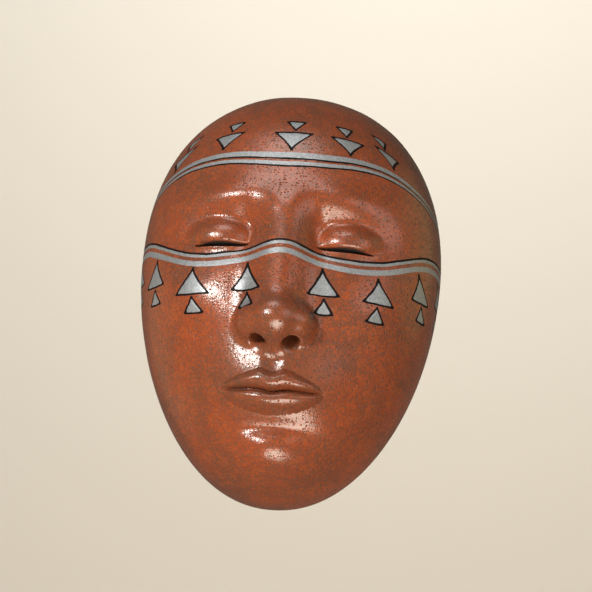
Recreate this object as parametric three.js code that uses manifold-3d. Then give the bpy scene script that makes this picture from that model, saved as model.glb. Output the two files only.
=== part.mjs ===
// Hollow ceramic wall mask: a thin egg-shaped shell with a calm, plain face, open at the back.
// Millimetres. +X is the viewer's right, +Z is up, and the face looks towards -Y. The flat rim lies
// in the plane Y = 0, against the wall, and the origin is on that rim at the top of the mask.

import * as THREE from "three";
import { mergeVertices } from "three/addons/utils/BufferGeometryUtils.js";
import Module from "manifold-3d";

// Driving dimensions of the shell
const HEIGHT = 265; // chin to crown, over the rim
const WIDTH = 188; // across the cheekbones, over the rim
const DOME = 78; // rim plane to the front of the plain dome, without the nose
const WALL = 8; // thickness of the clay
const TAPER = 0.12; // how much wider the brow is than the jaw
const ROUND = 2.12; // squareness of the outline, 2 being an ellipse
const FULL = 2.3; // squareness of the dome's cross-sections

// The face is laid out by the rule of thirds, with five eye widths across
const THIRD = HEIGHT / 3;
const NOSE_BASE = THIRD;
const BROW = 2 * THIRD;
const EYE_LINE = BROW - 0.27 * THIRD;
const MOUTH_LINE = (2 / 3) * THIRD;
const EYE = WIDTH / 5;

// Hanging notch in the inside of the top wall, for one nail
const NOTCH_WIDE = 8;
const NOTCH_DEEP = 3;
const NOTCH_RUN = 10;
const ORIGIN_UP = HEIGHT - (WALL - NOTCH_DEEP) / 2;

// Soft swellings and hollows of the face: how far each rises from the dome, its place out from the
// middle line and up from the chin, its half-sizes, and its turn in radians
const RELIEF = {
  browRidge: { rise: 3.6, out: 34, up: BROW + 3, wide: 26, high: 10, turn: -0.12 },
  betweenBrows: { rise: 1.5, out: 0, up: BROW + 3, wide: 15, high: 12 },
  forehead: { rise: 2.5, out: 0, up: BROW + 40, wide: 44, high: 26 },
  eyeHollow: { rise: -6, out: 36, up: EYE_LINE + 5, wide: 25, high: 14 },
  besideBridge: { rise: -4.2, out: 21, up: EYE_LINE + 5, wide: 9, high: 14 },
  cheekbone: { rise: 4, out: 52, up: NOSE_BASE + 28, wide: 27, high: 20, turn: 0.35 },
  belowCheek: { rise: -1.8, out: 50, up: MOUTH_LINE + 4, wide: 16, high: 26 },
  mouthMound: { rise: 6, out: 0, up: MOUTH_LINE + 3, wide: 36, high: 25 },
  chin: { rise: 8.5, out: 0, up: 22, wide: 25, high: 15 },
  aboveChin: { rise: -3.4, out: 0, up: MOUTH_LINE - 19.5, wide: 20, high: 5.5 },
};
const RELIEF_FADE = 24; // the relief dies out over this depth in front of the rim

// Nose: each piece's place up the face, its lift off the dome, its radii and the fillet round it
const BRIDGE = { top: [EYE_LINE + 14, -7], foot: [NOSE_BASE + 16, 4.5], radii: [10.5, 13], fillet: 16 };
const NOSE_TIP = { up: NOSE_BASE + 11.5, lift: 11.5, radii: [13.5, 12, 11], fillet: 9 };
const NOSE_WING = { out: 14.5, up: NOSE_BASE + 9.5, lift: 4, radii: [8.5, 12, 9.5], nod: 0.25, fillet: 6 };
const SEPTUM = { top: [NOSE_BASE + 4, 9.5], foot: [NOSE_BASE - 1, 1.5], radii: [4, 4.5], fillet: 9 };
const NOSTRIL_MOUTH = { out: 9.6, up: NOSE_BASE - 2, lift: 8, radius: 4.9 };
const NOSTRIL_THROAT = { out: 7.6, up: NOSE_BASE + 22, lift: -12, radius: 2.6 };
const NOSTRIL_SIDES = 10;

// Lips: the parting line rises a little to the corners, and dips in the middle
const LIP_HALF = 30;
const LIP_CORNERS = 1.2;
const LIP_PEAK = { out: 8, wide: 5, high: 1 };
const LIP_DIP = { wide: 5, high: 1, drop: 0.9 };
const LIP_WAVE = { out: 10, wide: 7, high: 1, rise: 0.6 };
const UPPER_LIP = { high: 12, rise: 5.2, fullness: 0.7, lean: 0.8, peak: 0.12, dip: 0.1 };
const LOWER_LIP = { high: 13, rise: 5.8, fullness: 0.55, lean: 0.9 };
const LIP_ROUNDNESS = 0.85;
const LIP_ENDS = 0.6; // how soon the lips flatten out towards the corners
const LIP_CHANNEL = { depth: 1.4, up: MOUTH_LINE + 20, wide: 4.5, high: 8 };

// Closed eyes: rounded lids over a narrow slit through the wall
const EYE_BALL = { out: EYE - 1, up: EYE_LINE + 0.5, lift: -16, radii: [21.5, 17.5, 14.5], fillet: 4 };
const SLIT_UP = EYE_LINE - 3; // height of its ends on the face
const SLIT_HALF = EYE / 2 - 2;
const SLIT_OPEN = 2.6;
const SLIT_SAG = 1.6;
const SLIT_SLOPE = 0.33; // how steeply it runs down towards the hollow

// Facets: columns run round the face and rows from its middle out to the rim
const OUTSIDE_FACETS = { columns: 100, rows: 37 };
const INSIDE_FACETS = { columns: 50, rows: 14 };
const MIDDLE = { back: 25, up: 104 }; // both surfaces are seen whole from this point in the hollow
const BEHIND = 6; // the hollow's cutter runs on this far behind the rim plane
const HOLLOW_FOLLOWS = 0.85; // share of the relief that the hollow follows

const CLAY = { color: 0x9a4326, roughness: 0.42, metalness: 0 };

const wasm = await Module();
wasm.setup();

// Joins two distance fields with a fillet of width k
function join(a, b, k) {
  const h = Math.max(k - Math.abs(a - b), 0) / k;
  return Math.min(a, b) - (h * h * k) / 4;
}

function eggWidth(up) {
  const s = up / (HEIGHT / 2) - 1;
  return ((WIDTH / 2) * (1 + TAPER * s)) / (1 + (TAPER * TAPER) / 2);
}

function eggRadius(out, up, grow = 0) {
  const u = Math.abs(out) / (eggWidth(up) + grow);
  const s = Math.abs(up - HEIGHT / 2) / (HEIGHT / 2 + grow);
  return { u, s, h: Math.max((u ** ROUND + s ** ROUND) ** (1 / ROUND), 1e-6) };
}

// Signed distance, to first order, from the plain dome
function dome(x, y, z, grow = 0) {
  const { u, s, h } = eggRadius(x, z, grow);
  const v = Math.max(-y, 0) / (DOME + grow);
  const g = (h ** FULL + v ** FULL) ** (1 / FULL);
  const side = (h / g) ** (FULL - 1);
  const slope = Math.hypot(
    (side * (u / h) ** (ROUND - 1)) / (eggWidth(z) + grow),
    (side * (s / h) ** (ROUND - 1)) / (HEIGHT / 2 + grow),
    (v / g) ** (FULL - 1) / (DOME + grow),
  );
  return (g - 1) / slope;
}

// A point on the plain dome's front, lifted off it towards the viewer
function onFace(out, up, lift) {
  const h = Math.min(eggRadius(out, up).h, 1);
  return [out, -DOME * (1 - h ** FULL) ** (1 / FULL) - lift, up];
}

function ball([x, y, z], centre, radii, nod = 0) {
  const forward = centre[1] - y;
  const above = z - centre[2];
  const q = [
    x - centre[0],
    Math.cos(nod) * forward + Math.sin(nod) * above,
    Math.cos(nod) * above - Math.sin(nod) * forward,
  ];
  const far = Math.hypot(...q.map((value, i) => value / radii[i]));
  const near = Math.hypot(...q.map((value, i) => value / radii[i] ** 2));
  return (far * (far - 1)) / Math.max(near, 1e-6);
}

function rod(p, from, to, radii) {
  const run = to.map((value, i) => value - from[i]);
  const w = p.map((value, i) => value - from[i]);
  const dot = run.reduce((sum, value, i) => sum + value * w[i], 0);
  const t = THREE.MathUtils.clamp(dot / run.reduce((sum, value) => sum + value * value, 0), 0, 1);
  const gap = Math.hypot(...w.map((value, i) => value - t * run[i]));
  return gap - THREE.MathUtils.lerp(radii[0], radii[1], t);
}

function hill(out, up, { out: out0 = 0, up: up0 = 0, wide, high, turn = 0 }) {
  const u = Math.cos(turn) * (out - out0) + Math.sin(turn) * (up - up0);
  const w = Math.cos(turn) * (up - up0) - Math.sin(turn) * (out - out0);
  return Math.exp(-((u / wide) ** 2) - (w / high) ** 2);
}

function relief(out, up) {
  return Object.values(RELIEF).reduce((sum, part) => sum + part.rise * hill(out, up, part), 0);
}

function nosePiece(p, { top, foot, radii }) {
  return rod(p, onFace(0, ...top), onFace(0, ...foot), radii);
}

function withNose(f, p) {
  const tip = ball(p, onFace(0, NOSE_TIP.up, NOSE_TIP.lift), NOSE_TIP.radii);
  const wingAt = onFace(NOSE_WING.out, NOSE_WING.up, NOSE_WING.lift);
  const wing = ball(p, wingAt, NOSE_WING.radii, NOSE_WING.nod);
  let face = join(f, nosePiece(p, BRIDGE), BRIDGE.fillet);
  face = join(face, tip, NOSE_TIP.fillet);
  face = join(face, wing, NOSE_WING.fillet);
  return join(face, nosePiece(p, SEPTUM), SEPTUM.fillet);
}

// Rounded cross-section of a lip, t being 0 at the parting line and 1 at the outer edge
function lipSection(t, { rise, lean }) {
  return rise * Math.sin(Math.PI * THREE.MathUtils.clamp(t, 0, 1) ** lean) ** LIP_ROUNDNESS;
}

function lips(out, up) {
  const along = Math.min(out / LIP_HALF, 1);
  const swell = 1 - along ** 2;
  const peak = hill(out, 0, LIP_PEAK);
  const dip = hill(out, 0, LIP_DIP);
  const corners = MOUTH_LINE + LIP_CORNERS * along ** 2;
  const line = corners + LIP_WAVE.rise * hill(out, 0, LIP_WAVE) - LIP_DIP.drop * dip;
  const bow = 1 + UPPER_LIP.peak * peak - UPPER_LIP.dip * dip;
  const top = corners + UPPER_LIP.high * swell ** UPPER_LIP.fullness * bow;
  const bottom = corners - LOWER_LIP.high * swell ** LOWER_LIP.fullness;
  const upper = lipSection((up - line) / Math.max(top - line, 0.1), UPPER_LIP);
  const lower = lipSection((line - up) / Math.max(line - bottom, 0.1), LOWER_LIP);
  return (upper + lower) * swell ** LIP_ENDS - LIP_CHANNEL.depth * hill(out, up, LIP_CHANNEL);
}

function withLids(f, p) {
  const eyeball = ball(p, onFace(EYE_BALL.out, EYE_BALL.up, EYE_BALL.lift), EYE_BALL.radii);
  return join(f, eyeball, EYE_BALL.fillet);
}

// The mask's outside, and its hollow: the same dome one wall further in, following the relief
function outside(x, y, z) {
  const out = Math.hypot(x, 0.8) - 0.3;
  const p = [out, y, z];
  const near = THREE.MathUtils.smoothstep(-y, 0, RELIEF_FADE);
  const face = dome(x, y, z) - near * (relief(out, z) + lips(out, z));
  return withLids(withNose(face, p), p);
}

function hollow(x, y, z) {
  const near = THREE.MathUtils.smoothstep(-y, 0, RELIEF_FADE);
  return dome(x, y, z, -WALL) - HOLLOW_FOLLOWS * near * relief(Math.abs(x), z);
}

// The last point along a ray at which a field is still inside
function lastInside(field, from, toward) {
  const point = (r) => from.clone().addScaledVector(toward, r);
  const at = (r) => field(...point(r));
  let outer = HEIGHT;
  while (at(outer) > 0) outer -= THREE.MathUtils.clamp(at(outer) / 2, 0.2, 8);
  let inner = outer;
  outer += 0.2;
  for (let i = 0; i < 16; i++) {
    const mid = (inner + outer) / 2;
    if (at(mid) > 0) outer = mid;
    else inner = mid;
  }
  return point(inner);
}

// A closed solid of a field's outer surface, from its front pole back to a flat end at y = back
function starGeometry(field, { columns, rows }, back) {
  const eye = new THREE.Vector3(0, -MIDDLE.back, MIDDLE.up);
  const hub = new THREE.Vector3(0, back, MIDDLE.up);
  const points = [lastInside(field, eye, new THREE.Vector3(0, -1, 0))];
  const rims = [];
  for (let column = 0; column < columns; column++) {
    const turn = (2 * Math.PI * column) / columns;
    const sideways = new THREE.Vector3(-Math.sin(turn), 0, Math.cos(turn));
    rims.push({ sideways, rim: lastInside(field, hub, sideways) });
  }
  for (let row = 1; row <= rows; row++)
    for (const { sideways, rim } of rims) {
      const toRim = rim.clone().sub(eye);
      const spread = (Math.atan2(toRim.dot(sideways), -toRim.y) * row) / rows;
      const toward = sideways.clone().multiplyScalar(Math.sin(spread)).setY(-Math.cos(spread));
      points.push(row === rows ? rim : lastInside(field, eye, toward));
    }
  points.push(hub);

  const index = [];
  const at = (row, column) => 1 + (row - 1) * columns + (column % columns);
  for (let column = 0; column < columns; column++) {
    index.push(0, at(1, column), at(1, column + 1));
    index.push(points.length - 1, at(rows, column + 1), at(rows, column));
    for (let row = 1; row < rows; row++) {
      const [a, b] = [at(row, column), at(row, column + 1)];
      const [c, d] = [at(row + 1, column + 1), at(row + 1, column)];
      if (points[a].distanceTo(points[c]) < points[b].distanceTo(points[d])) index.push(a, d, c, a, c, b);
      else index.push(a, d, b, b, d, c);
    }
  }
  const geometry = new THREE.BufferGeometry().setFromPoints(points);
  return geometry.setIndex(index);
}

function solid(geometry) {
  geometry.deleteAttribute("normal");
  geometry.deleteAttribute("uv");
  const merged = mergeVertices(geometry, 1e-4);
  const mesh = new wasm.Mesh({
    numProp: 3,
    vertProperties: new Float32Array(merged.attributes.position.array),
    triVerts: new Uint32Array(merged.index.array),
  });
  return new wasm.Manifold(mesh);
}

// The narrow lens between closed lids, as a prism through the wall that slopes down inwards
function eyeSlit(side) {
  const mid = side * EYE;
  const middle = SLIT_UP - 2 * SLIT_SAG;
  const shape = new THREE.Shape();
  shape.moveTo(mid - SLIT_HALF, SLIT_UP);
  shape.quadraticCurveTo(mid, middle - SLIT_OPEN, mid + SLIT_HALF, SLIT_UP);
  shape.quadraticCurveTo(mid, middle + SLIT_OPEN, mid - SLIT_HALF, SLIT_UP);
  const lens = { depth: 2 * DOME, bevelEnabled: false, curveSegments: 6 };
  const slit = new THREE.ExtrudeGeometry(shape, lens).rotateX(Math.PI / 2);
  const [, frontY] = onFace(EYE, EYE_LINE, 0);
  const slope = new THREE.Matrix4().makeShear(0, 0, 0, -SLIT_SLOPE, 0, 0);
  return slit.translate(0, -frontY, 0).applyMatrix4(slope).translate(0, frontY, 0);
}

function nostrilEnd({ out, up, lift }, side) {
  const end = new THREE.Vector3(...onFace(out, up, lift));
  end.x *= side;
  return end;
}

// A tapered hole from under the nose up into the hollow
function nostril(side) {
  const mouth = nostrilEnd(NOSTRIL_MOUTH, side);
  const throat = nostrilEnd(NOSTRIL_THROAT, side);
  const run = throat.clone().sub(mouth);
  const radii = [NOSTRIL_THROAT.radius, NOSTRIL_MOUTH.radius];
  const geometry = new THREE.CylinderGeometry(...radii, run.length(), NOSTRIL_SIDES);
  const upright = new THREE.Vector3(0, 1, 0);
  geometry.applyQuaternion(new THREE.Quaternion().setFromUnitVectors(upright, run.normalize()));
  const middle = mouth.add(throat).multiplyScalar(0.5);
  return geometry.translate(middle.x, middle.y, middle.z);
}

function hangingNotch() {
  const high = 2 * NOTCH_DEEP;
  const notch = new THREE.BoxGeometry(NOTCH_WIDE, 2 * NOTCH_RUN, high);
  return notch.translate(0, 0, HEIGHT - WALL + NOTCH_DEEP - high / 2);
}

function shellGeometry() {
  let shell = solid(starGeometry(outside, OUTSIDE_FACETS, 0));
  shell = shell.subtract(solid(starGeometry(hollow, INSIDE_FACETS, BEHIND)));
  for (const side of [-1, 1]) {
    shell = shell.subtract(solid(eyeSlit(side)));
    shell = shell.subtract(solid(nostril(side)));
  }
  shell = shell.subtract(solid(hangingNotch()));
  const { vertProperties, triVerts } = shell.getMesh();
  const geometry = new THREE.BufferGeometry();
  geometry.setAttribute("position", new THREE.BufferAttribute(vertProperties, 3));
  geometry.setIndex(new THREE.BufferAttribute(triVerts, 1));
  geometry.computeVertexNormals();
  return geometry;
}

const shell = new THREE.Mesh(shellGeometry(), new THREE.MeshStandardMaterial(CLAY));
shell.name = "mask_shell";
shell.position.set(0, 0, -ORIGIN_UP);

const mask = new THREE.Group();
mask.add(shell);

export default mask;
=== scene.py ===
"""Hand-built ceramic wall mask: its clay shell with painted bands and triangles, and a plain studio.

The form is worked out in millimetres as (across, forward, up): across from the middle line, forward
from the rim plane and up from the chin. The mesh is moved into the frame's metres at the end.
"""
import math

import bpy
import numpy as np
from bpy.props import FloatProperty, FloatVectorProperty, IntProperty, PointerProperty
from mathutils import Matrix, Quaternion, Vector


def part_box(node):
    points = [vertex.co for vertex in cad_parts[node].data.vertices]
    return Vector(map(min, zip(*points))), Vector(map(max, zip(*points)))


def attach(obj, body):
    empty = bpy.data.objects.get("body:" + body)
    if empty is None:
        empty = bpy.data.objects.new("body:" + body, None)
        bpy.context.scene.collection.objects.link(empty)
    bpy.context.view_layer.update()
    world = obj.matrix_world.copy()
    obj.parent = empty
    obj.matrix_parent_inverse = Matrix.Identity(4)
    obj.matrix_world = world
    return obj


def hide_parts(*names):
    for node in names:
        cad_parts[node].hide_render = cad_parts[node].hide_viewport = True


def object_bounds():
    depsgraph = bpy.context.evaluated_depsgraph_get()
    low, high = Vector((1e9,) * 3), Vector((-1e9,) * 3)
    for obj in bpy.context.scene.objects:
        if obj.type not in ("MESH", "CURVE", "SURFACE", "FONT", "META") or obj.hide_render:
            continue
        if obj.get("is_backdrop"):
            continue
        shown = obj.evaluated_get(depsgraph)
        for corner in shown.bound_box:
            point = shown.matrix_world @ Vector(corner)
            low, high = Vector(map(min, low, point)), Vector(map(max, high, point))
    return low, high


bl_info = {
    "name": "Ceramic wall mask",
    "version": (1, 0, 0),
    "blender": (4, 5, 0),
    "location": "3D View > Sidebar > Wall mask",
    "description": "Builds a hollow clay mask with painted bands and triangles, and a studio for it",
    "category": "Add Mesh",
}

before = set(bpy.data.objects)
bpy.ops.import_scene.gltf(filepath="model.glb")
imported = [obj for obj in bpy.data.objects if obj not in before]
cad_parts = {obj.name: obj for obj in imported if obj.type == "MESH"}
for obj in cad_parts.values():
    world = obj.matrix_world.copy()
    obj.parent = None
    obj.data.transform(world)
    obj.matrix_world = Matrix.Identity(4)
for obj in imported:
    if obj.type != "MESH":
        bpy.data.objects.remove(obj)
CAD_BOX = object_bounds()
SHELL_NODE = "mask_shell"
MM = 0.001
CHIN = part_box(SHELL_NODE)[0].z

# Driving sizes of the shell, in millimetres
HEIGHT = 265.0
WIDTH = 188.0
DOME = 78.0
TAPER = 0.12
ROUND = 2.12
FULL = 2.3

# The face is laid out by the rule of thirds, with five eye widths across
THIRD = HEIGHT / 3
NOSE_BASE = THIRD
BROW = 2 * THIRD
EYE_LINE = BROW - 0.27 * THIRD
MOUTH_LINE = 2 / 3 * THIRD
EYE = WIDTH / 5

# Soft swellings and hollows: rise from the dome, place out and up, half-sizes and turn
RELIEF = {
    "brow ridge": (3.6, 34, BROW + 3, 26, 10, -0.12),
    "between the brows": (1.5, 0, BROW + 3, 15, 12, 0),
    "forehead": (2.5, 0, BROW + 40, 44, 26, 0),
    "eye hollow": (-6.0, 36, EYE_LINE + 5, 25, 14, 0),
    "beside the bridge": (-4.2, 21, EYE_LINE + 5, 9, 14, 0),
    "cheekbone": (4.0, 52, NOSE_BASE + 28, 27, 20, 0.35),
    "below the cheek": (-1.8, 50, MOUTH_LINE + 4, 16, 26, 0),
    "mouth mound": (6.0, 0, MOUTH_LINE + 3, 36, 25, 0),
    "chin": (8.5, 0, 22, 25, 15, 0),
    "above the chin": (-3.4, 0, MOUTH_LINE - 19.5, 20, 5.5, 0),
}
RELIEF_FADE = 24.0
HOLLOW_FOLLOWS = 0.85

# The nose and the eyeballs. A place is out from the middle line, up from the chin and lift off the
# dome. A rod has two places and two radii. A ball has one place, three radii and, if it nods, a turn.
BRIDGE = (0, EYE_LINE + 14, -7), (0, NOSE_BASE + 16, 4.5), 10.5, 13
TIP = (0, NOSE_BASE + 11.5, 11.5), (13.5, 12, 11)
WING = (14.5, NOSE_BASE + 9.5, 4), (8.5, 12, 9.5), 0.25
SEPTUM = (0, NOSE_BASE + 4, 9.5), (0, NOSE_BASE - 1, 1.5), 4, 4.5
NOSTRIL = (9.6, NOSE_BASE - 2, 8), (7.6, NOSE_BASE + 22, -12), 4.9, 2.6
EYEBALL = (EYE - 1, EYE_LINE + 0.5, -16), (21.5, 17.5, 14.5)

# Sizes of the blends and of the rounded edges, in millimetres
FILLETS = {
    "bridge": 16, "tip": 9, "wing": 6, "septum": 9, "nostril": 3, "lid": 4,
    "slit": 1.4, "hollow": 3, "notch": 0.8, "rim": 2.5,
}

# The lips, and the channel above them with its raised edges: a place out and up and two half-sizes
LIP_HALF = 30.0
LIP_PEAK = 8.0
UPPER_LIP_HIGH, UPPER_LIP_RISE = 12.0, 5.2
LOWER_LIP_HIGH, LOWER_LIP_RISE = 13.0, 5.8
SEAM_HALF, SEAM_WIDE = 28.5, 1.3
CHANNEL_DEEP, CHANNEL = 1.4, (0, MOUTH_LINE + 20, 4.5, 8)
CHANNEL_EDGE_RISE, CHANNEL_EDGE = 0.4, (7, MOUTH_LINE + 18, 3.2, 7)

# Creases below the lower lids, and how steeply the slits slope down into the hollow
CREASE_DEEP, CREASE_WIDE = 0.8, 1.0
SLIT_SLOPE = 0.33

NOTCH_WIDE = 8.0
NOTCH_DEEP = 3.0
NOTCH_RUN = 10.0

# Middle lines of the painted bands, in millimetres above the chin, and how they run to the sides
UPPER_BAND = 203.6
UPPER_RISE, UPPER_FALL = 11.8, 34.7
UPPER_TAPER = 0.33
LOWER_BAND = 143.0
LOWER_FALL, LOWER_RISE, LOWER_EASE = 53.7, 155.2, 93.9
HUMP_HIGH, HUMP_WIDE = 1.8, 0.12

# Rows of triangle pairs: places in radians round the dome, sizes in millimetres. Outwards from pair
# to pair, drift and spread change the place, tilt and slant the turn, and wider and higher the size,
# the size over as many pairs as steps says. Clear and apart are the gaps to the band and in a pair.
UPPER_ROW = {
    "first": 0.0, "last": 2.0, "spacing": 0.44, "drift": 0.045, "spread": 0.035, "radius": 79.0,
    "lean": 0.2, "tilt": 0.12, "slant": 0.0, "steps": 2.0,
    "wide": 22.2, "wider": -2.6, "high": 13.4, "higher": -1.3,
    "small_wide": 12.4, "small_high": 7.8, "clear": 2.6, "apart": 2.6, "seed": 4.0,
}
LOWER_ROW = {
    "first": 0.237, "last": 3.0, "spacing": 0.358, "drift": 0.0, "spread": 0.0, "radius": 92.0,
    "aside": 0.03, "lean": 0.2, "tilt": 0.0, "slant": 0.1, "steps": 1.0,
    "wide": 18.4, "wider": 4.0, "high": 16.0, "higher": 0.0,
    "small_wide": 11.0, "small_high": 9.2, "clear": 1.4, "apart": 2.2, "seed": 11.0,
}

# How far hand-painted triangles vary in all, in millimetres
VARY_WIDE, VARY_HIGH, VARY_CLEAR, VARY_ASIDE = 2.0, 1.6, 2.0, 2.4

# Triangles: powers that dish their sides, the bow of the base and the rounding of its corners
LARGE_DISH, SMALL_DISH = 1.35, 1.1
BASE_BOW = 0.4
CORNER = 2.2

# Widths over which a stripe's and a triangle's edges fade, in millimetres
STRIPE_EDGE, TRIANGLE_EDGE = 0.16, 0.18

# Millimetres round the dome for each radian, as the pits are spaced
PIT_RADIUS = 85.0

# Smoky patch round the mouth: its middle above the chin and its half-sizes
SMOKE_UP, SMOKE_WIDE, SMOKE_HIGH = MOUTH_LINE + 14, 42, 34

# The studio, in metres: the backdrop runs from its front edge, round a bend and up behind the mask
FLOOR_BELOW = 1.15
BACKDROP_FRONT, BACKDROP_BACK, BACKDROP_HIGH = -2.6, 1.5, 4.2
BACKDROP_HALF, BACKDROP_BEND, BEND_STEPS = 3.0, 0.6, 12
AMBIENT_COLOUR, AMBIENT_STRENGTH = (1.0, 0.90, 0.74), 0.13

# How far the camera aims off the mask's middle, across and up the picture, in metres
AIM_SHIFT = (0.0075, -0.0088, 0.0)

# Lights on the mask: name, place, width, power, colour and whether only the gloss shows them
LIGHTS = (
    ("key light", (-0.68, -1.30, 0.17), 0.28, 18.3, (1.0, 0.96, 0.90), False),
    ("low fill", (0.24, -0.86, -1.33), 1.0, 24.0, (1.0, 0.90, 0.76), False),
    ("sky sheen", (-0.20, -0.95, 1.25), 0.9, 6.8, (1.0, 0.97, 0.93), True),
    ("right sheen", (0.90, -0.78, 0.12), 0.9, 2.2, (1.0, 0.98, 0.95), True),
    ("right fill", (1.12, 0.32, 0.32), 1.1, 1.3, (1.0, 0.80, 0.36), False),
    ("left fill", (-1.2, 0.4, -0.2), 1.0, 0.8, (1.0, 0.76, 0.46), False),
)


class MaskForm(bpy.types.PropertyGroup):
    """Sizes of the clay shell"""

    wall: FloatProperty(
        name="Wall", description="Thickness of the clay", default=0.008, unit="LENGTH")
    slit: FloatProperty(
        name="Eye slit", description="Height of the opening between the lids", default=0.0026, unit="LENGTH")
    seam: FloatProperty(
        name="Mouth line", description="Depth of the line between the lips", default=0.0018, unit="LENGTH")
    uneven: FloatProperty(
        name="Unevenness", description="How far the hand-smoothed clay wanders", default=0.0003,
        unit="LENGTH")
    fine: FloatProperty(
        name="Fine spacing", description="Mesh spacing on the features", default=0.0011, unit="LENGTH")
    coarse: FloatProperty(
        name="Coarse spacing", description="Mesh spacing elsewhere", default=0.0024, unit="LENGTH")
    most_faces: IntProperty(
        name="Most triangles", description="The hollow is thinned to stay below this", default=185000)


class MaskClay(bpy.types.PropertyGroup):
    """Colours and gloss of the fired clay, with the shade painted into its pits, eye slits and nostrils"""

    red: FloatVectorProperty(
        name="Red clay", description="Burnished red-orange slip", subtype="COLOR", size=3,
        default=(0.310, 0.062, 0.018))
    brown: FloatVectorProperty(
        name="Brown clay", description="Darker clouds in the slip", subtype="COLOR", size=3,
        default=(0.235, 0.056, 0.021))
    orange: FloatVectorProperty(
        name="Orange clay", description="Bright specks in the slip", subtype="COLOR", size=3,
        default=(0.420, 0.085, 0.018))
    smoke: FloatVectorProperty(
        name="Smoke", description="Grey-brown smoky flecks and patches", subtype="COLOR", size=3,
        default=(0.105, 0.062, 0.038))
    # Partly the clay's dark specks, partly painted shade in the pit hollows
    speck_and_pit_shade: FloatVectorProperty(
        name="Specks and pit shade", description="Dark specks of the clay and painted shade in the pits", subtype="COLOR", size=3,
        default=(0.045, 0.020, 0.013))
    raw: FloatVectorProperty(
        name="Raw clay", description="Unpolished clay of the hollow", subtype="COLOR", size=3,
        default=(0.235, 0.088, 0.045))
    # Painted shade: near-black colour on the walls deep in the eye slits and nostrils
    slit_shade: FloatVectorProperty(
        name="Slit shade", description="Painted shade on the walls of the eye slits and nostrils", subtype="COLOR", size=3,
        default=(0.020, 0.011, 0.008))
    gloss: FloatProperty(
        name="Roughness", description="Roughness of the burnished surface", default=0.20,
        min=0, max=1, subtype="FACTOR")


class MaskPaint(bpy.types.PropertyGroup):
    """Painted bands and triangles"""

    silver: FloatVectorProperty(
        name="Silver", description="Silver-grey paint", subtype="COLOR", size=3,
        default=(0.40, 0.43, 0.46))
    line: FloatVectorProperty(
        name="Line", description="Black outline", subtype="COLOR", size=3, default=(0.004, 0.004, 0.005))
    wide: FloatProperty(
        name="Wide stripe", description="Width of the wide silver stripe", default=0.0041, unit="LENGTH")
    thin: FloatProperty(
        name="Thin stripe", description="Width of the thin silver stripe", default=0.0027, unit="LENGTH")
    black: FloatProperty(
        name="Black line", description="Width of the black lines", default=0.0013, unit="LENGTH")
    gap: FloatProperty(
        name="Gap", description="Clay left between the stripes", default=0.0014, unit="LENGTH")
    outline: FloatProperty(
        name="Outline", description="Width of the triangles' outline", default=0.0012, unit="LENGTH")


class MaskStage(bpy.types.PropertyGroup):
    """Camera and studio"""

    azimuth: FloatProperty(
        name="Azimuth", description="Camera's turn round the mask", default=math.radians(5), subtype="ANGLE")
    elevation: FloatProperty(
        name="Elevation", description="Camera's height angle", default=math.radians(-15), subtype="ANGLE")
    roll: FloatProperty(
        name="Roll", description="Camera's turn about its own axis", default=math.radians(4.5),
        subtype="ANGLE")
    distance: FloatProperty(
        name="Distance", description="Camera to the mask", default=1.3, unit="LENGTH")
    field: FloatProperty(
        name="Field", description="Width that the picture spans at the mask", default=0.360, unit="LENGTH")
    pale: FloatVectorProperty(
        name="Backdrop", description="Pale floor and backdrop", subtype="COLOR", size=3,
        default=(0.80, 0.75, 0.66))


# Distance fields

def size(*values):
    """Length of a vector"""
    return np.sqrt(sum(value * value for value in values))


def join(a, b, fillet):
    """The nearer of two fields, blended over a fillet"""
    h = np.maximum(fillet - np.abs(a - b), 0) / fillet
    return np.minimum(a, b) - h * h * fillet / 4


def cut(a, b, fillet):
    """Field a with field b taken out of it, the edge rounded"""
    return -join(-a, b, fillet)


def egg_width(up):
    """Half the egg's width scale at a height, a little more above the middle than below"""
    s = up / (HEIGHT / 2) - 1
    return WIDTH / 2 * (1 + TAPER * s) / (1 + TAPER * TAPER / 2)


def egg_radius(across, up, grow=0.0):
    """Shares of the half-width and half-height, and both together, 1 on the egg's outline"""
    u = np.abs(across) / (egg_width(up) + grow)
    s = np.abs(up - HEIGHT / 2) / (HEIGHT / 2 + grow)
    return u, s, np.maximum((u ** ROUND + s ** ROUND) ** (1 / ROUND), 1e-6)


def dome(across, forward, up, grow=0.0):
    """Distance, to first order, from the plain dome"""
    u, s, h = egg_radius(across, up, grow)
    v = np.maximum(forward, 0) / (DOME + grow)
    g = np.maximum((h ** FULL + v ** FULL) ** (1 / FULL), 1e-6)
    side = (h / g) ** (FULL - 1)
    slope = size(
        side * (u / h) ** (ROUND - 1) / (egg_width(up) + grow),
        side * (s / h) ** (ROUND - 1) / (HEIGHT / 2 + grow),
        (v / g) ** (FULL - 1) / (DOME + grow))
    return (g - 1) / np.maximum(slope, 1e-6)


def front(across, up):
    """How far forward the plain dome reaches over a point of the rim plane"""
    h = np.minimum(egg_radius(across, up)[2], 1)
    return DOME * (1 - h ** FULL) ** (1 / FULL)


def on_face(across, up, lift):
    """A point on the plain dome's front, lifted off it"""
    return across, float(front(across, up)) + lift, up


def ball(spot, place, radii, nod=0.0):
    """Distance, to first order, from an ellipsoid that is turned by nod between forward and up"""
    centre = on_face(*place)
    across, forward, up = (spot[i] - centre[i] for i in range(3))
    turned = math.cos(nod) * forward + math.sin(nod) * up
    raised = math.cos(nod) * up - math.sin(nod) * forward
    far = size(across / radii[0], turned / radii[1], raised / radii[2])
    near = size(across / radii[0] ** 2, turned / radii[1] ** 2, raised / radii[2] ** 2)
    return far * (far - 1) / np.maximum(near, 1e-6)


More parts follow.
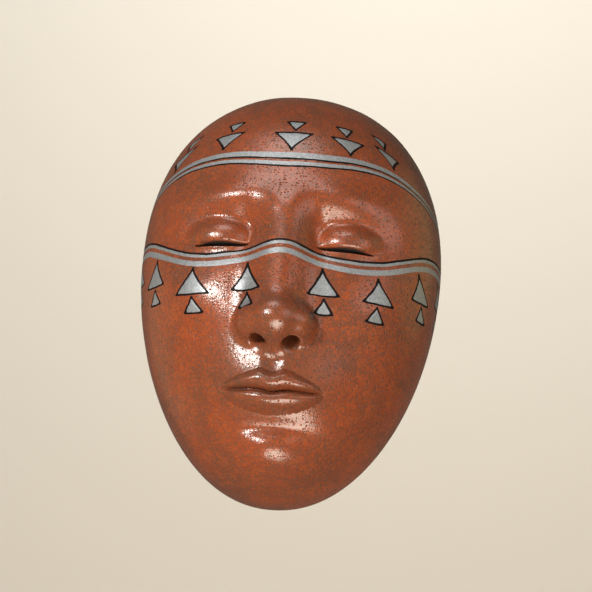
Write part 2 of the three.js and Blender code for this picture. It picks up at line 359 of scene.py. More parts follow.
def rod(spot, first, last, start_radius, end_radius):
    """Distance from a round rod between two places, its radius running from one to the other"""
    start, end = on_face(*first), on_face(*last)
    run = np.subtract(end, start)
    off = [spot[i] - start[i] for i in range(3)]
    t = np.clip(sum(off[i] * run[i] for i in range(3)) / (run @ run), 0, 1)
    return size(*(off[i] - t * run[i] for i in range(3))) - (start_radius + (end_radius - start_radius) * t)


def hill(out, up, out0, up0, wide, high, turn=0.0):
    """Soft round hill, 1 on its top"""
    u = math.cos(turn) * (out - out0) + math.sin(turn) * (up - up0)
    w = math.cos(turn) * (up - up0) - math.sin(turn) * (out - out0)
    return np.exp(-(u / wide) ** 2 - (w / high) ** 2)


def smooth(t):
    """Smooth rise from 0 to 1"""
    t = np.clip(t, 0, 1)
    return t * t * (3 - 2 * t)


# The mask's form

def relief(out, up):
    """All soft swellings and hollows of the face together"""
    return sum(rise * hill(out, up, *rest) for rise, *rest in RELIEF.values())


def wander(across, up):
    """Slow uneven swells that hand smoothing leaves, between -1 and 1"""
    first = np.sin(across / 13.7 + 1.3 * np.sin(up / 21.3)) * np.sin(up / 16.1 + 0.7)
    second = np.sin(across / 7.9 - up / 11.3 + 2.1) * np.cos(up / 8.7 - across / 23.0)
    return 0.6 * first + 0.4 * second


def nose(field, spot):
    """The face with the nose on it and the nostrils through it"""
    field = join(field, rod(spot, *BRIDGE), FILLETS["bridge"])
    field = join(field, ball(spot, *TIP), FILLETS["tip"])
    field = join(field, ball(spot, *WING), FILLETS["wing"])
    field = join(field, rod(spot, *SEPTUM), FILLETS["septum"])
    return cut(field, rod(spot, *NOSTRIL), FILLETS["nostril"])


def lip_section(t):
    """Rounded section of a lip, 0 at the parting line and at the outer edge"""
    t = np.clip(t, 0, 1)
    return np.sin(np.pi * t) ** 0.85


def lips(out, up, seam):
    """Rise of the lips, less the line between them and the channel above"""
    along = np.clip(out / LIP_HALF, 0, 1)
    swell = 1 - along ** 2
    peak = hill(out, 0, LIP_PEAK, 0, 5, 1)
    dip = hill(out, 0, 0, 0, 5, 1)
    corners = MOUTH_LINE + 1.2 * along ** 2
    line = corners + 0.6 * hill(out, 0, 10, 0, 7, 1) - 0.9 * dip
    top = corners + UPPER_LIP_HIGH * swell ** 0.7 * (1 + 0.12 * peak - 0.1 * dip)
    bottom = corners - LOWER_LIP_HIGH * swell ** 0.55
    above = np.clip((up - line) / np.maximum(top - line, 0.1), 0, 1)
    below = np.clip((line - up) / np.maximum(line - bottom, 0.1), 0, 1)
    body = UPPER_LIP_RISE * lip_section(above ** 0.8) + LOWER_LIP_RISE * lip_section(below ** 0.9)
    parting = seam * np.exp(-((up - line) / SEAM_WIDE) ** 2) * np.exp(-(out / SEAM_HALF) ** 10)
    channel = CHANNEL_DEEP * hill(out, up, *CHANNEL)
    channel_edge = CHANNEL_EDGE_RISE * hill(out, up, *CHANNEL_EDGE)
    return body * swell ** 0.6 - parting - channel + channel_edge


def above_arc(out, up, middle, half, end_up, middle_up):
    """Height above a shallow arc, and how far along it, -1 to 1 from end to end"""
    t = (out - middle) / half
    return up - (middle_up + (end_up - middle_up) * t * t), t


def lids(field, spot):
    """The face with a closed lid over each eyeball and a crease below it"""
    out, _, up = spot
    rise, t = above_arc(out, up, EYE, EYE / 2 - 1, EYE_LINE - 4, EYE_LINE - 5.2)
    crease = CREASE_DEEP * np.exp(-(rise / CREASE_WIDE) ** 2 - t ** 6)
    return join(field, ball(spot, *EYEBALL), FILLETS["lid"]) + crease


def eye_slit(out, forward, up, high):
    """Narrow lens between the lids, sloping down into the hollow"""
    level = up - SLIT_SLOPE * (forward - float(front(EYE, EYE_LINE)))
    rise, t = above_arc(out, level, EYE, EYE / 2 - 2, EYE_LINE - 3, EYE_LINE - 4.6)
    return np.abs(rise) - high / 2 * np.sqrt(np.maximum(1 - t * t, 0)) + 30 * np.maximum(np.abs(t) - 1, 0)


def hanging_notch(across, forward, up, wall):
    """Box let into the inside of the top wall, open at the rim"""
    floor = HEIGHT - wall
    aside = np.abs(across) - NOTCH_WIDE / 2
    over = np.abs(up - floor) - NOTCH_DEEP
    deep = forward - NOTCH_RUN
    return np.maximum(np.maximum(aside, over), deep)


def mask_surfaces(form, across, forward, up):
    """The distance fields of the face with its nostrils and of the hollow behind it"""
    out = size(across, 0.8) - 0.3
    spot = out, forward, up
    fade = smooth(forward / RELIEF_FADE)
    soft = fade * relief(out, up)
    detail = lips(out, up, form.seam / MM) + form.uneven / MM * wander(across, up)
    face = lids(nose(dome(across, forward, up) - soft - fade * detail, spot), spot)
    hollow = dome(across, forward, up, -form.wall / MM) - HOLLOW_FOLLOWS * soft
    return face, hollow


def mask_field(form):
    """The whole mask's distance field, as a function of across, forward and up"""

    def field(across, forward, up):
        face, hollow = mask_surfaces(form, across, forward, up)
        slit = eye_slit(np.abs(across), forward, up, form.slit / MM)
        notch = hanging_notch(across, forward, up, form.wall / MM)
        shell = cut(face, slit, FILLETS["slit"])
        shell = cut(shell, hollow, FILLETS["hollow"])
        shell = cut(shell, notch, FILLETS["notch"])
        return cut(shell, forward, FILLETS["rim"])

    return field


# From the field to a mesh

def grid_lines(start, *runs):
    """Grid lines from a start, in runs of an end and a spacing"""
    lines = [start]
    for end, spacing in runs:
        count = max(1, round((end - lines[-1]) / spacing))
        lines += list(lines[-1] + (end - lines[-1]) * np.arange(1, count + 1) / count)
    return np.array(lines)


def face_grid(fine, coarse):
    """Grid lines, close together on the features and closest at the mouth and the eye slits"""
    side = WIDTH / 2 + 4
    across = grid_lines(-side, (-60, coarse), (60, fine), (side, coarse))
    forward = grid_lines(-1.5, (5, 0.8), (48, coarse), (110, fine))
    up = grid_lines(
        -3.0, (34, coarse), (MOUTH_LINE - 2, fine), (MOUTH_LINE + 2, fine / 2), (EYE_LINE - 8, fine),
        (EYE_LINE + 0.5, fine / 2), (BROW + 14, fine), (252, coarse), (262, fine), (HEIGHT + 3, coarse))
    return across, forward, up


def sample(field, lines, wall):
    """The field on the grid, worked out only near the surfaces"""
    across, forward, up = np.meshgrid(*lines, indexing="ij")
    rough = np.maximum(dome(across, forward, up), -forward)
    near = (rough < 36) & (rough > -wall - 14)
    values = np.where((rough > 0) | (rough < -wall - 3), 50.0, -50.0)
    values[near] = field(across[near], forward[near], up[near])
    return values


def surface_net(values, lines):
    """One point in each cell that the surface passes, and a quad over each grid edge it crosses"""
    inside = values < 0
    cells = tuple(n - 1 for n in values.shape)
    corners = [(i, j, k) for i in (0, 1) for j in (0, 1) for k in (0, 1)]

    def shifted(array, corner):
        return array[tuple(slice(corner[a], corner[a] + cells[a]) for a in range(3))]

    filled = sum(shifted(inside, corner).astype(np.int8) for corner in corners)
    live = np.argwhere((filled > 0) & (filled < 8))
    number = np.full(cells, -1, np.int64)
    number[tuple(live.T)] = np.arange(len(live))
    value = [values[tuple((live + corner).T)] for corner in corners]
    spot = [np.stack([lines[a][live[:, a] + corner[a]] for a in range(3)], 1) for corner in corners]
    total = np.zeros((len(live), 3))
    hits = np.zeros(len(live))
    for a, one in enumerate(corners):
        for b, two in enumerate(corners[a + 1:], a + 1):
            if sum(abs(i - j) for i, j in zip(one, two)) != 1:
                continue
            crossed = (value[a] < 0) != (value[b] < 0)
            t = np.where(crossed, value[a] / np.where(crossed, value[a] - value[b], 1), 0)[:, None]
            total += np.where(crossed[:, None], spot[a] + t * (spot[b] - spot[a]), 0)
            hits += crossed
    quads = []
    for axis in range(3):
        one, two = (a for a in range(3) if a != axis)
        low = [slice(None)] * 3
        high = [slice(None)] * 3
        low[axis], high[axis] = slice(0, -1), slice(1, None)
        at = np.argwhere(inside[tuple(low)] != inside[tuple(high)])
        at = at[(at[:, one] > 0) & (at[:, two] > 0) & (at[:, one] < cells[one]) & (at[:, two] < cells[two])]
        ring = []
        for step_one, step_two in ((0, 0), (-1, 0), (-1, -1), (0, -1)):
            cell = at.copy()
            cell[:, one] += step_one
            cell[:, two] += step_two
            ring.append(number[tuple(cell.T)])
        quad = np.stack(ring, 1)
        turned = inside[tuple(at.T)] ^ (axis == 1)
        quad[turned] = quad[turned][:, ::-1]
        quads.append(quad)
    return total / hits[:, None], np.concatenate(quads)


def gradient(field, points, step=0.05):
    """Slope of the field at each point"""
    sides = []
    for axis in range(3):
        shift = np.zeros(3)
        shift[axis] = step
        sides.append((field(*(points + shift).T) - field(*(points - shift).T)) / (2 * step))
    return np.stack(sides, 1)


def settle(field, points, quads, rounds=3):
    """Moves the points onto the surface and evens out their spacing along it"""
    edges = np.concatenate([quads[:, [i, (i + 1) % 4]] for i in range(4)])
    count = np.bincount(edges.ravel(), minlength=len(points))[:, None]
    for turn in range(rounds):
        slope = gradient(field, points)
        steep = np.maximum((slope * slope).sum(1), 1e-3)[:, None]
        move = -field(*points.T)[:, None] * slope / steep
        far = np.linalg.norm(move, axis=1, keepdims=True)
        points = points + move * np.minimum(1, 0.6 / np.maximum(far, 1e-9))
        if turn == rounds - 1:
            break
        mean = np.stack([
            np.bincount(edges[:, 0], points[edges[:, 1], axis], len(points))
            + np.bincount(edges[:, 1], points[edges[:, 0], axis], len(points)) for axis in range(3)], 1)
        unit = slope / np.sqrt(steep)
        pull = mean / count - points
        pull -= (pull * unit).sum(1)[:, None] * unit
        points = points + 0.5 * pull
    return points


# Where the paint, the raw clay and the painted shade of the slits and nostrils go

def running_length(out, up):
    """Length along a curve up to each of its points"""
    return np.concatenate([[0.0], np.cumsum(np.hypot(np.diff(out), np.diff(up)))])


def side_outline(up):
    """Half the dome's width at a height"""
    s = np.minimum(np.abs(up / (HEIGHT / 2) - 1), 1)
    return egg_width(up) * (1 - s ** ROUND) ** (1 / ROUND)


LEVELS = HEIGHT * (1 - np.cos(np.linspace(0, np.pi, 400))) / 2
SIDE_LENGTH = running_length(side_outline(LEVELS), LEVELS)
FRONT_LENGTH = running_length(front(0 * LEVELS, LEVELS), LEVELS)


def height_on_surface(up, turn):
    """Height along the dome's surface, on the way up the side or up the front"""
    share = np.sin(turn) ** 2
    return share * np.interp(up, LEVELS, SIDE_LENGTH) + (1 - share) * np.interp(up, LEVELS, FRONT_LENGTH)


def turn_round(points):
    """Angle round the dome from the middle line"""
    across, forward, up = points.T
    return np.arctan2(
        across / np.maximum(side_outline(up), 1), np.maximum(forward, 0) / np.maximum(front(0 * up, up), 1))


def upper_band(turn):
    """Height of the upper band's middle line"""
    share = np.sin(turn) ** 2
    return UPPER_BAND + UPPER_RISE * share - UPPER_FALL * share ** 2


def lower_sweep(share):
    """How far the lower band rises from its middle, by the squared sine of the turn round the dome"""
    return share * (share * (LOWER_RISE - share * LOWER_EASE) - LOWER_FALL)


def lower_band(turn):
    """Height of the lower band's middle line, with its hump over the nose"""
    hump = HUMP_HIGH * np.exp(-(turn / HUMP_WIDE) ** 2)
    return LOWER_BAND + lower_sweep(np.sin(turn) ** 2) + hump


def add_uv_map(mesh, name, u, v):
    """A UV map from one pair of numbers for each vertex"""
    corner = np.empty(len(mesh.loops), np.int32)
    mesh.loops.foreach_get("vertex_index", corner)
    layer = mesh.uv_layers.new(name=name)
    layer.uv.foreach_set("vector", np.stack([u, v], 1)[corner].astype(np.float32).ravel())


def add_paint_maps(mesh, points):
    """UV maps of the turn round the dome and of heights along its surface

    Upper holds the turn and the height above the upper band. Lower holds the height above the level
    of LOWER_BAND and the height above the lower band.
    """
    turn = turn_round(points)
    height = height_on_surface(points[:, 2], turn)
    add_uv_map(mesh, "Upper", turn, height - height_on_surface(upper_band(turn), turn))
    level = height_on_surface(LOWER_BAND + 0 * turn, turn)
    add_uv_map(mesh, "Lower", height - level, height - height_on_surface(lower_band(turn), turn))


def share_inside(form, points):
    """0 on the outside and the rim, 1 on the wall of the hollow"""
    hollow = mask_surfaces(form, *points.T)[1]
    return smooth(1 - (hollow - 0.5) / 3)


def share_in_holes(form, points):
    """1 deep in the eye slits and nostrils, where shade is painted; 0 on the outside and in the hollow"""
    face, hollow = mask_surfaces(form, *points.T)
    return smooth((-face - 0.7) / 1.2) * smooth((hollow - 0.5) / 1.5) * smooth((points[:, 1] - 12) / 8)


# Between millimetres and Blender

def from_blender(mesh):
    """The vertices as across, forward and up in millimetres"""
    flat = np.empty(3 * len(mesh.vertices))
    mesh.vertices.foreach_get("co", flat)
    x, y, z = flat.reshape(-1, 3).T
    return np.stack([x, -y, z - CHIN], 1) / MM


def to_blender(points):
    """Points in millimetres, moved into the frame's metres"""
    return np.stack([points[:, 0] * MM, -points[:, 1] * MM, points[:, 2] * MM + CHIN], 1)


def plain_mesh(thing):
    """Gives the object its evaluated mesh, in place of its modifiers"""
    graph = bpy.context.evaluated_depsgraph_get()
    mesh = bpy.data.meshes.new_from_object(thing.evaluated_get(graph))
    thing.modifiers.clear()
    thing.data = mesh


def thin_hollow(thing, inside, most):
    """Thins only the unseen hollow, so that the face keeps its fine mesh"""
    triangles = 2 * len(thing.data.polygons)
    if triangles <= most:
        return
    group = thing.vertex_groups.new(name="hollow")
    for index in np.flatnonzero(inside > 0.99):
        group.add([int(index)], 1.0, "REPLACE")
    thinner = thing.modifiers.new("thin hollow", "DECIMATE")
    thinner.ratio = most / triangles
    thinner.vertex_group = group.name
    plain_mesh(thing)
    thing.vertex_groups.clear()


# Shader maths

class Signal:
    """A number on a wire: Python sums on it add Math nodes"""

    def __init__(self, shader, socket):
        self.shader = shader
        self.socket = socket

    def __add__(self, other):
        return self.shader.maths("ADD", self, other)

    def __sub__(self, other):
        return self.shader.maths("SUBTRACT", self, other)

    def __rsub__(self, other):
        return self.shader.maths("SUBTRACT", other, self)

    def __mul__(self, other):
        return self.shader.maths("MULTIPLY", self, other)

    def __truediv__(self, other):
        return self.shader.maths("DIVIDE", self, other)

    def __pow__(self, other):
        return self.shader.maths("POWER", self, other)

    def __abs__(self):
        return self.shader.maths("ABSOLUTE", self)

    def __neg__(self):
        return self * -1

    __radd__ = __add__
    __rmul__ = __mul__

    def clear(self):
        """Kept between 0 and 1"""
        return self.shader.maths("ADD", self, 0.0, use_clamp=True)


class Shader:
    """Adds nodes to one material"""

    def __init__(self, name):
        self.material = bpy.data.materials.new(name)
        self.material.use_nodes = True
        self.tree = self.material.node_tree
        self.tree.nodes.clear()

    def node(self, kind, settings=None, values=None):
        """Adds a node: its settings first, then its sockets' values or links"""
        node = self.tree.nodes.new(kind)
        for name, setting in (settings or {}).items():
            setattr(node, name, setting)
        for name, value in (values or {}).items():
            source = value.socket if isinstance(value, Signal) else value
            if isinstance(source, bpy.types.NodeSocket):
                self.tree.links.new(source, node.inputs[name])
            else:
                node.inputs[name].default_value = source
        return node

    def maths(self, operation, *values, use_clamp=False):
        settings = {"operation": operation, "use_clamp": use_clamp}
        node = self.node("ShaderNodeMath", settings, dict(enumerate(values)))
        return Signal(self, node.outputs[0])

    def least(self, a, b):
        return self.maths("MINIMUM", a, b)

    def most(self, a, b):
        return self.maths("MAXIMUM", a, b)

    def step(self, value, low, high):
        """Smooth rise from 0 to 1 as a value goes from low to high"""
        node = self.node("ShaderNodeMapRange", {"interpolation_type": "SMOOTHSTEP"},
                         {"Value": value, "From Min": low, "From Max": high})
        return Signal(self, node.outputs["Result"])

    def mix(self, factor, first, second):
        node = self.node("ShaderNodeMix", {"data_type": "RGBA"}, {0: factor, 6: first, 7: second})
        return node.outputs[2]

    def layer(self, factor, below, above):
        """One surface laid over another where the factor is 1"""
        return self.node("ShaderNodeMixShader", None, {0: factor, 1: below.outputs[0], 2: above.outputs[0]})

    def noise(self, place, scale, detail=2.0, roughness=0.5):
        node = self.node("ShaderNodeTexNoise", None,
                         {"Vector": place, "Scale": scale, "Detail": detail, "Roughness": roughness})
        return Signal(self, node.outputs[0])

    def parts(self, vector):
        node = self.node("ShaderNodeSeparateXYZ", None, {0: vector})
        return [Signal(self, socket) for socket in node.outputs]

    def attribute(self, name):
        return Signal(self, self.node("ShaderNodeAttribute", {"attribute_name": name}).outputs["Fac"])

    def paint_map(self, name):
        return self.parts(self.node("ShaderNodeUVMap", {"uv_map": name}).outputs[0])[:2]


def rgba(colour):
    return *colour, 1.0


def inside_edge(distance, soft):
    """1 where a distance is above 0, with a thin soft edge"""
    return (distance / soft + 0.5).clear()


def between(shader, value, low, high):
    """1 between a stripe's two edges"""
    return shader.least(inside_edge(value - low, STRIPE_EDGE), inside_edge(high - value, STRIPE_EDGE))


def triangle(shader, along, above, wide, high, lean, dished):
    """Distance from a triangle, its sides dished by a power above 1, above being counted from its point"""
    middle = along - above * lean
    half = (shader.most(above, 0.0) / high) ** dished * (wide / 2)
    side = (abs(middle) - half) * 0.80
    bow = BASE_BOW - (middle / (wide / 2)) ** 2.0 * BASE_BOW
    rounded = shader.maths("SMOOTH_MAX", side, above - high - bow, CORNER)
    return shader.most(rounded, -above)


def row_places(shader, row, side):
    """Number and place of the nearest pair of a row"""
    cell = shader.least(shader.maths("ROUND", (side - row["first"]) / row["spacing"]), row["last"])
    cell = shader.most(cell, 0.0 if row["first"] else -row["last"])
    spread = shader.maths("SINE", cell * (math.pi / 2)) * row["spread"]
    return cell, cell * row["spacing"] - abs(cell) * row["drift"] + spread + row["first"]


def triangle_pairs(shader, row, cell, along, sign, away):
    """Distance from a row of pairs: a large triangle with its point at the band, a small one beyond it"""
    chance = shader.node(
        "ShaderNodeTexWhiteNoise", {"noise_dimensions": "1D"}, {"W": (cell + 0.5) * sign + row["seed"]})
    first, second, third = shader.parts(chance.outputs["Color"])
    tilt = cell * row["tilt"]
    lean = (first - 0.5) * row["lean"] - tilt + (sign + 1) * cell * row["slant"]
    steps = shader.least(abs(cell), row["steps"])
    wide = (second - 0.5) * VARY_WIDE + row["wide"] + steps * row["wider"]
    high = (third - 0.5) * VARY_HIGH + row["high"] + steps * row["higher"]
    away = away - row["clear"] + (second - 0.5) * VARY_CLEAR + along * tilt
    large = triangle(shader, along, away, wide, high, lean, LARGE_DISH)
    shifted = along - lean * high - (third - 0.5) * VARY_ASIDE
    beyond = away - high - row["apart"]
    small_wide = steps * (row["wider"] / 2) + row["small_wide"]
    small = triangle(shader, shifted, beyond, small_wide, row["small_high"], lean, SMALL_DISH)
    return shader.least(large, small)


def stripes(shader, level, top, widths, brush):
    """Masks of a band's silver and black stripes, given from its top edge down; None is bare clay"""
    masks = {"silver": 0.0, "black": 0.0}
    for paint, width in widths:
        if paint:
            low = top - width
            if paint == "black":
                low = low + brush
            masks[paint] = shader.most(masks[paint], between(shader, level, low, top))
        top -= width
    return masks["silver"], masks["black"]


def painted(shader, place, paint):
    """Masks of the silver and the black paint, and the triangles' paint thickness in millimetres"""
    wide, thin, black, gap = (value / MM for value in (paint.wide, paint.thin, paint.black, paint.gap))
    slow = shader.noise(place, 38.0, 1.0) - 0.5
    quick = shader.noise(place, 260.0, 2.0) - 0.5
    brush = shader.noise(place, 95.0, 1.0) - 0.5
    wobble = slow * 1.6 + quick * 0.5
    ragged = quick * 0.8

    turn, above = shader.paint_map("Upper")
    order = ("silver", wide), ("black", black), (None, gap), ("silver", thin), ("black", black)
    half = sum(width for _, width in order) / 2
    taper = 1 - abs(turn) * UPPER_TAPER
    silver, dark = stripes(shader, (above + wobble) / taper, half, order, brush)
    cell, middle = row_places(shader, UPPER_ROW, turn)
    along = (turn - middle) * UPPER_ROW["radius"] + ragged
    upper = triangle_pairs(shader, UPPER_ROW, cell, along, 1.0, above - taper * half + ragged)

    level, above = shader.paint_map("Lower")
    order = ("black", 1.05 * black), ("silver", 0.7 * thin), (None, 1.75 * gap), ("silver", 0.85 * wide)
    half = sum(width for _, width in order) / 2
    lower_silver, lower_dark = stripes(shader, above + wobble, half, order, brush)
    side = turn - LOWER_ROW["aside"]
    cell, middle = row_places(shader, LOWER_ROW, abs(side))
    sign = shader.maths("SIGN", side)
    along = (side - middle * sign) * LOWER_ROW["radius"] + ragged
    away = lower_sweep(shader.maths("SINE", middle * sign + LOWER_ROW["aside"]) ** 2.0) - level - half
    lower = triangle_pairs(shader, LOWER_ROW, cell, along, sign, away + ragged)

    silver = shader.most(silver, lower_silver)
    dark = shader.most(dark, lower_dark)
    pair = shader.least(upper, lower)
    outline = paint.outline / MM
    fill = inside_edge(-outline / 2 - pair, TRIANGLE_EDGE)
    edge = inside_edge(outline / 2 + brush * 0.5 - pair, TRIANGLE_EDGE) * (1 - fill)
    thickness = (-pair / 1.5).clear() ** 0.7 * 0.16 + quick * 0.10
    return shader.most(silver, fill), shader.most(dark, edge), thickness


def clay_material(clay, paint):
    """Burnished red clay with mottling and pits, shade painted into the pits, eye slits and nostrils, under
    silver and black paint
    """
    shader = Shader("burnished clay")
    place = shader.node("ShaderNodeTexCoord").outputs["Object"]
    inside = shader.attribute("inside")
    in_holes = shader.attribute("in_holes")
    x, _, z = shader.parts(place)

    clouds = shader.noise(place, 34.0, 4.0, 0.6)
    drift = shader.noise(place, 12.0, 2.0, 0.5)
    flecks = shader.noise(place, 680.0, 2.0, 0.6)
    grain = shader.noise(place, 1100.0, 2.0, 0.6)
    aside = x / MM / SMOKE_WIDE
    over = (z / MM - (SMOKE_UP + CHIN / MM)) / SMOKE_HIGH
    round_mouth = aside * aside + over * over
    smoky = (1 - shader.step(round_mouth + (clouds - 0.5) * 1.6, 0.25, 1.25)) * 0.3

    patches = shader.noise(place, 150.0, 3.0, 0.6)
    specks = shader.noise(place, 460.0, 1.0)
    cloudy = shader.step(clouds + (drift - 0.5) * 0.7, 0.42, 0.70)
    colour = shader.mix(cloudy, rgba(clay.red), rgba(clay.brown))
    bright = shader.step(patches + (0.5 - flecks) * 0.7, 0.46, 0.66) * 0.55
    colour = shader.mix(bright, colour, rgba(clay.orange))
    mottled = ((flecks - 0.42) * 4.5 + (clouds - 0.5) * 1.2).clear() * 0.56
    mottled = shader.most(mottled, shader.step(specks, 0.61, 0.72) * 0.60)
    colour = shader.mix(mottled, colour, rgba(clay.smoke))
    colour = shader.mix(smoky, colour, rgba(clay.smoke))

    turn, above = shader.paint_map("Upper")
    over_face = shader.node("ShaderNodeCombineXYZ", None, {0: turn * PIT_RADIUS, 1: above}).outputs[0]
    dots = shader.node(
        "ShaderNodeTexVoronoi", {"voronoi_dimensions": "2D"}, {"Vector": over_face, "Scale": 0.55})
    near = Signal(shader, dots.outputs["Distance"])
    chance = shader.parts(dots.outputs["Color"])
    reach = chance[0] * 0.20 + 0.16
    pits = (1 - shader.step(near, reach * 0.6, reach + 0.04)) * shader.step(chance[1], 0.54, 0.58)
    pits = pits * (1 - inside)
    # The pits are darkened in colour: partly dark specks of the clay, partly painted shade in the pit
    # hollows
    colour = shader.mix(pits * (chance[2] * 0.50 + 0.04), colour, rgba(clay.speck_and_pit_shade))
    raw = shader.mix(clouds * 0.6, rgba(clay.raw), rgba(clay.brown))
    colour = shader.mix(inside, colour, raw)
    # Painted shade: the walls deep in the eye slits and nostrils are coloured near-black where shade falls
    colour = shader.mix(in_holes, colour, rgba(clay.slit_shade))

    smear = shader.noise(place, 70.0, 3.0, 0.55)
    height = (flecks - 0.5) * 0.10 + (grain - 0.5) * 0.11 - pits * 0.26 + inside * (smear - 0.5) * 0.9
    bump = shader.node("ShaderNodeBump", None, {"Strength": 1.0, "Distance": MM, "Height": height})
    bare = shader.node("ShaderNodeBsdfPrincipled", None, {
        "Base Color": colour,
        "Roughness": (clay.gloss + (clouds - 0.5) * 0.10 + pits * 0.8 + (inside + in_holes) * 0.5).clear(),
        "Coat Weight": (1 - inside) * (1 - in_holes) * (1 - pits) * 0.30,
        "Coat Roughness": 0.40,
        "Specular IOR Level": 0.65,
        "Normal": bump.outputs[0],
    })

    silver, dark, thickness = painted(shader, place, paint)
    worn = shader.step(grain + (flecks - 0.5) * 0.8, 0.30, 0.75)
    tone = shader.mix(worn, rgba(paint.silver), rgba([value * 0.7 for value in paint.silver]))
    paint_bump = shader.node("ShaderNodeBump", None, {
        "Strength": 1.0, "Distance": MM, "Height": thickness + (grain - 0.5) * 0.14})
    leafed = shader.node("ShaderNodeBsdfPrincipled", None, {
        "Base Color": tone, "Metallic": 0.5, "Roughness": 0.44, "Normal": paint_bump.outputs[0]})
    inked = shader.node("ShaderNodeBsdfPrincipled", None, {
        "Base Color": rgba(paint.line), "Roughness": 0.6, "Specular IOR Level": 0.12})
    outer = 1 - inside
    surface = shader.layer(silver * outer, bare, leafed)
    surface = shader.layer(dark * outer, surface, inked)
    shader.node("ShaderNodeOutputMaterial", None, {"Surface": surface.outputs[0]})
    return shader.material


# Operators

class MASK_OT_shell(bpy.types.Operator):
    """Builds the clay shell with its face, its hollow and its painted finish"""

    bl_idname = "mask.shell"
    bl_label = "Clay shell"

    def execute(self, context):
        form = context.scene.mask_form
        fine, coarse = form.fine / MM, form.coarse / MM
        field = mask_field(form)
        lines = face_grid(fine, coarse)
        points, quads = surface_net(sample(field, lines, form.wall / MM), lines)
        points = settle(field, points, quads)
        mesh = bpy.data.meshes.new("clay_shell")
        mesh.from_pydata(to_blender(points).tolist(), [], quads.tolist())
        mesh.update()
        if mesh.validate():
            raise RuntimeError("the surface net has faulty faces")
        thing = bpy.data.objects.new("clay_shell", mesh)
        context.collection.objects.link(thing)
        thin_hollow(thing, share_inside(form, points), form.most_faces)

        mesh = thing.data
        points = from_blender(mesh)
        slope = gradient(field, points)
        normal = slope / np.linalg.norm(slope, axis=1, keepdims=True)
        mesh.polygons.foreach_set("use_smooth", np.ones(len(mesh.polygons), bool))
        mesh.normals_split_custom_set_from_vertices((normal * (1, -1, 1)).tolist())
        add_paint_maps(mesh, points)
        for name, share in (("inside", share_inside), ("in_holes", share_in_holes)):
            layer = mesh.attributes.new(name, "FLOAT", "POINT")
            layer.data.foreach_set("value", share(form, points).astype(np.float32))
        mesh.materials.append(clay_material(context.scene.mask_clay, context.scene.mask_paint))
        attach(thing, "root")
        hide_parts(SHELL_NODE)
        return {"FINISHED"}


def plain_material(name, colour):
    """One even, dull colour"""
    shader = Shader(name)
    surface = shader.node("ShaderNodeBsdfPrincipled", None, {"Base Color": rgba(colour), "Roughness": 0.85})
    shader.node("ShaderNodeOutputMaterial", None, {"Surface": surface.outputs[0]})
    return shader.material


def soft_light(name, place, target, wide, power, colour, gloss_only=False):
    """A round area light that faces a target"""
    lamp = bpy.data.lights.new(name, "AREA")
    lamp.shape = "DISK"
    lamp.size = wide
    lamp.energy = power
    lamp.color = colour
    light = bpy.data.objects.new(name, lamp)
    light.location = place
    light.rotation_euler = (target - Vector(place)).to_track_quat("-Z", "Y").to_euler()
    light.visible_diffuse = not gloss_only
    bpy.context.collection.objects.link(light)


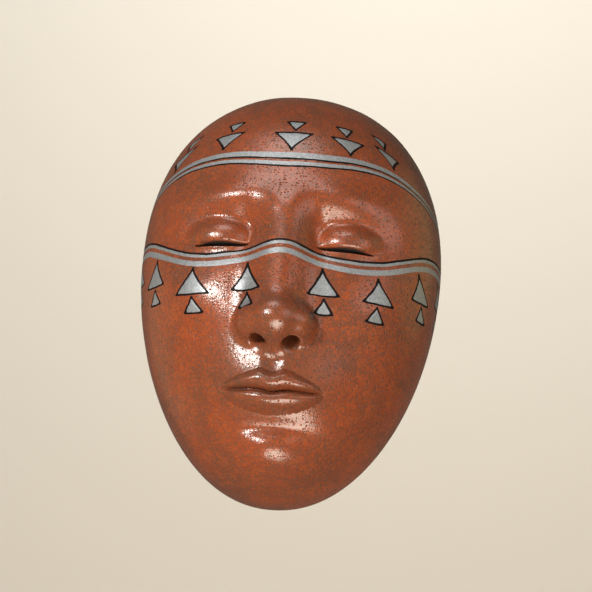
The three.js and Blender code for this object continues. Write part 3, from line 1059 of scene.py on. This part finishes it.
class MASK_OT_stage(bpy.types.Operator):
    """Builds the plain floor and backdrop, the soft studio light and the camera"""

    bl_idname = "mask.stage"
    bl_label = "Studio"

    def execute(self, context):
        stage = context.scene.mask_stage
        low, high = CAD_BOX
        middle = (low + high) / 2

        floor, back, bend = low.z - FLOOR_BELOW, BACKDROP_BACK, BACKDROP_BEND
        profile = [(BACKDROP_FRONT, floor)]
        for step in range(BEND_STEPS + 1):
            turn = math.pi / 2 * step / BEND_STEPS
            profile.append((back - bend + bend * math.sin(turn), floor + bend - bend * math.cos(turn)))
        profile.append((back, floor + BACKDROP_HIGH))
        corners = [(x, y, z) for y, z in profile for x in (-BACKDROP_HALF, BACKDROP_HALF)]
        faces = [(i, i + 1, i + 3, i + 2) for i in range(0, len(corners) - 2, 2)]
        mesh = bpy.data.meshes.new("backdrop")
        mesh.from_pydata(corners, [], faces)
        mesh.polygons.foreach_set("use_smooth", [True] * len(faces))
        mesh.materials.append(plain_material("pale backdrop", stage.pale))
        backdrop = bpy.data.objects.new("backdrop", mesh)
        context.collection.objects.link(backdrop)
        backdrop.visible_glossy = False
        backdrop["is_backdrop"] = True

        for name, place, wide, power, colour, gloss_only in LIGHTS:
            soft_light(name, place, middle, wide, power, colour, gloss_only)
        soft_light("backdrop light", (0.0, 0.3, 1.3), Vector((0.0, back, 1.0)), 1.2, 18.0, (1.0, 1.0, 1.0))
        world = bpy.data.worlds.new("studio")
        world.use_nodes = True
        background = world.node_tree.nodes["Background"]
        background.inputs["Color"].default_value = rgba(AMBIENT_COLOUR)
        background.inputs["Strength"].default_value = AMBIENT_STRENGTH
        context.scene.world = world
        context.scene.view_settings.view_transform = "Standard"

        lens = bpy.data.cameras.new("camera")
        lens.lens = lens.sensor_width * stage.distance / stage.field
        camera = bpy.data.objects.new("camera", lens)
        context.collection.objects.link(camera)
        azimuth, elevation = stage.azimuth, stage.elevation
        back_from = Vector((
            math.sin(azimuth) * math.cos(elevation), -math.cos(azimuth) * math.cos(elevation),
            math.sin(elevation)))
        aim = (-back_from).to_track_quat("-Z", "Y") @ Quaternion((0, 0, 1), stage.roll)
        target = middle + aim @ Vector(AIM_SHIFT)
        camera.location = target + back_from * stage.distance
        camera.rotation_euler = aim.to_euler()
        context.scene.camera = camera
        return {"FINISHED"}


class MASK_PT_sidebar(bpy.types.Panel):
    """Lists the mask's sizes, colours and building steps"""

    bl_idname = "MASK_PT_sidebar"
    bl_label = "Ceramic wall mask"
    bl_space_type = "VIEW_3D"
    bl_region_type = "UI"
    bl_category = "Wall mask"

    def draw(self, context):
        for group in GROUPS:
            box = self.layout.box()
            values = getattr(context.scene, group)
            for name in values.bl_rna.properties.keys():
                if name not in ("rna_type", "name"):
                    box.prop(values, name)
        self.layout.operator(MASK_OT_shell.bl_idname)
        self.layout.operator(MASK_OT_stage.bl_idname)


GROUPS = {"mask_form": MaskForm, "mask_clay": MaskClay, "mask_paint": MaskPaint, "mask_stage": MaskStage}
CLASSES = (*GROUPS.values(), MASK_OT_shell, MASK_OT_stage, MASK_PT_sidebar)


def register():
    for kind in CLASSES:
        bpy.utils.register_class(kind)
    for name, kind in GROUPS.items():
        setattr(bpy.types.Scene, name, PointerProperty(type=kind))


def unregister():
    for name in GROUPS:
        delattr(bpy.types.Scene, name)
    for kind in reversed(CLASSES):
        bpy.utils.unregister_class(kind)


def main():
    register()
    bpy.ops.mask.shell()
    bpy.ops.mask.stage()
    boxes = {"cad": CAD_BOX, "visual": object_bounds()}
    {name: [list(corner) for corner in box] for name, box in boxes.items()}


if __name__ == "__main__":
    main()
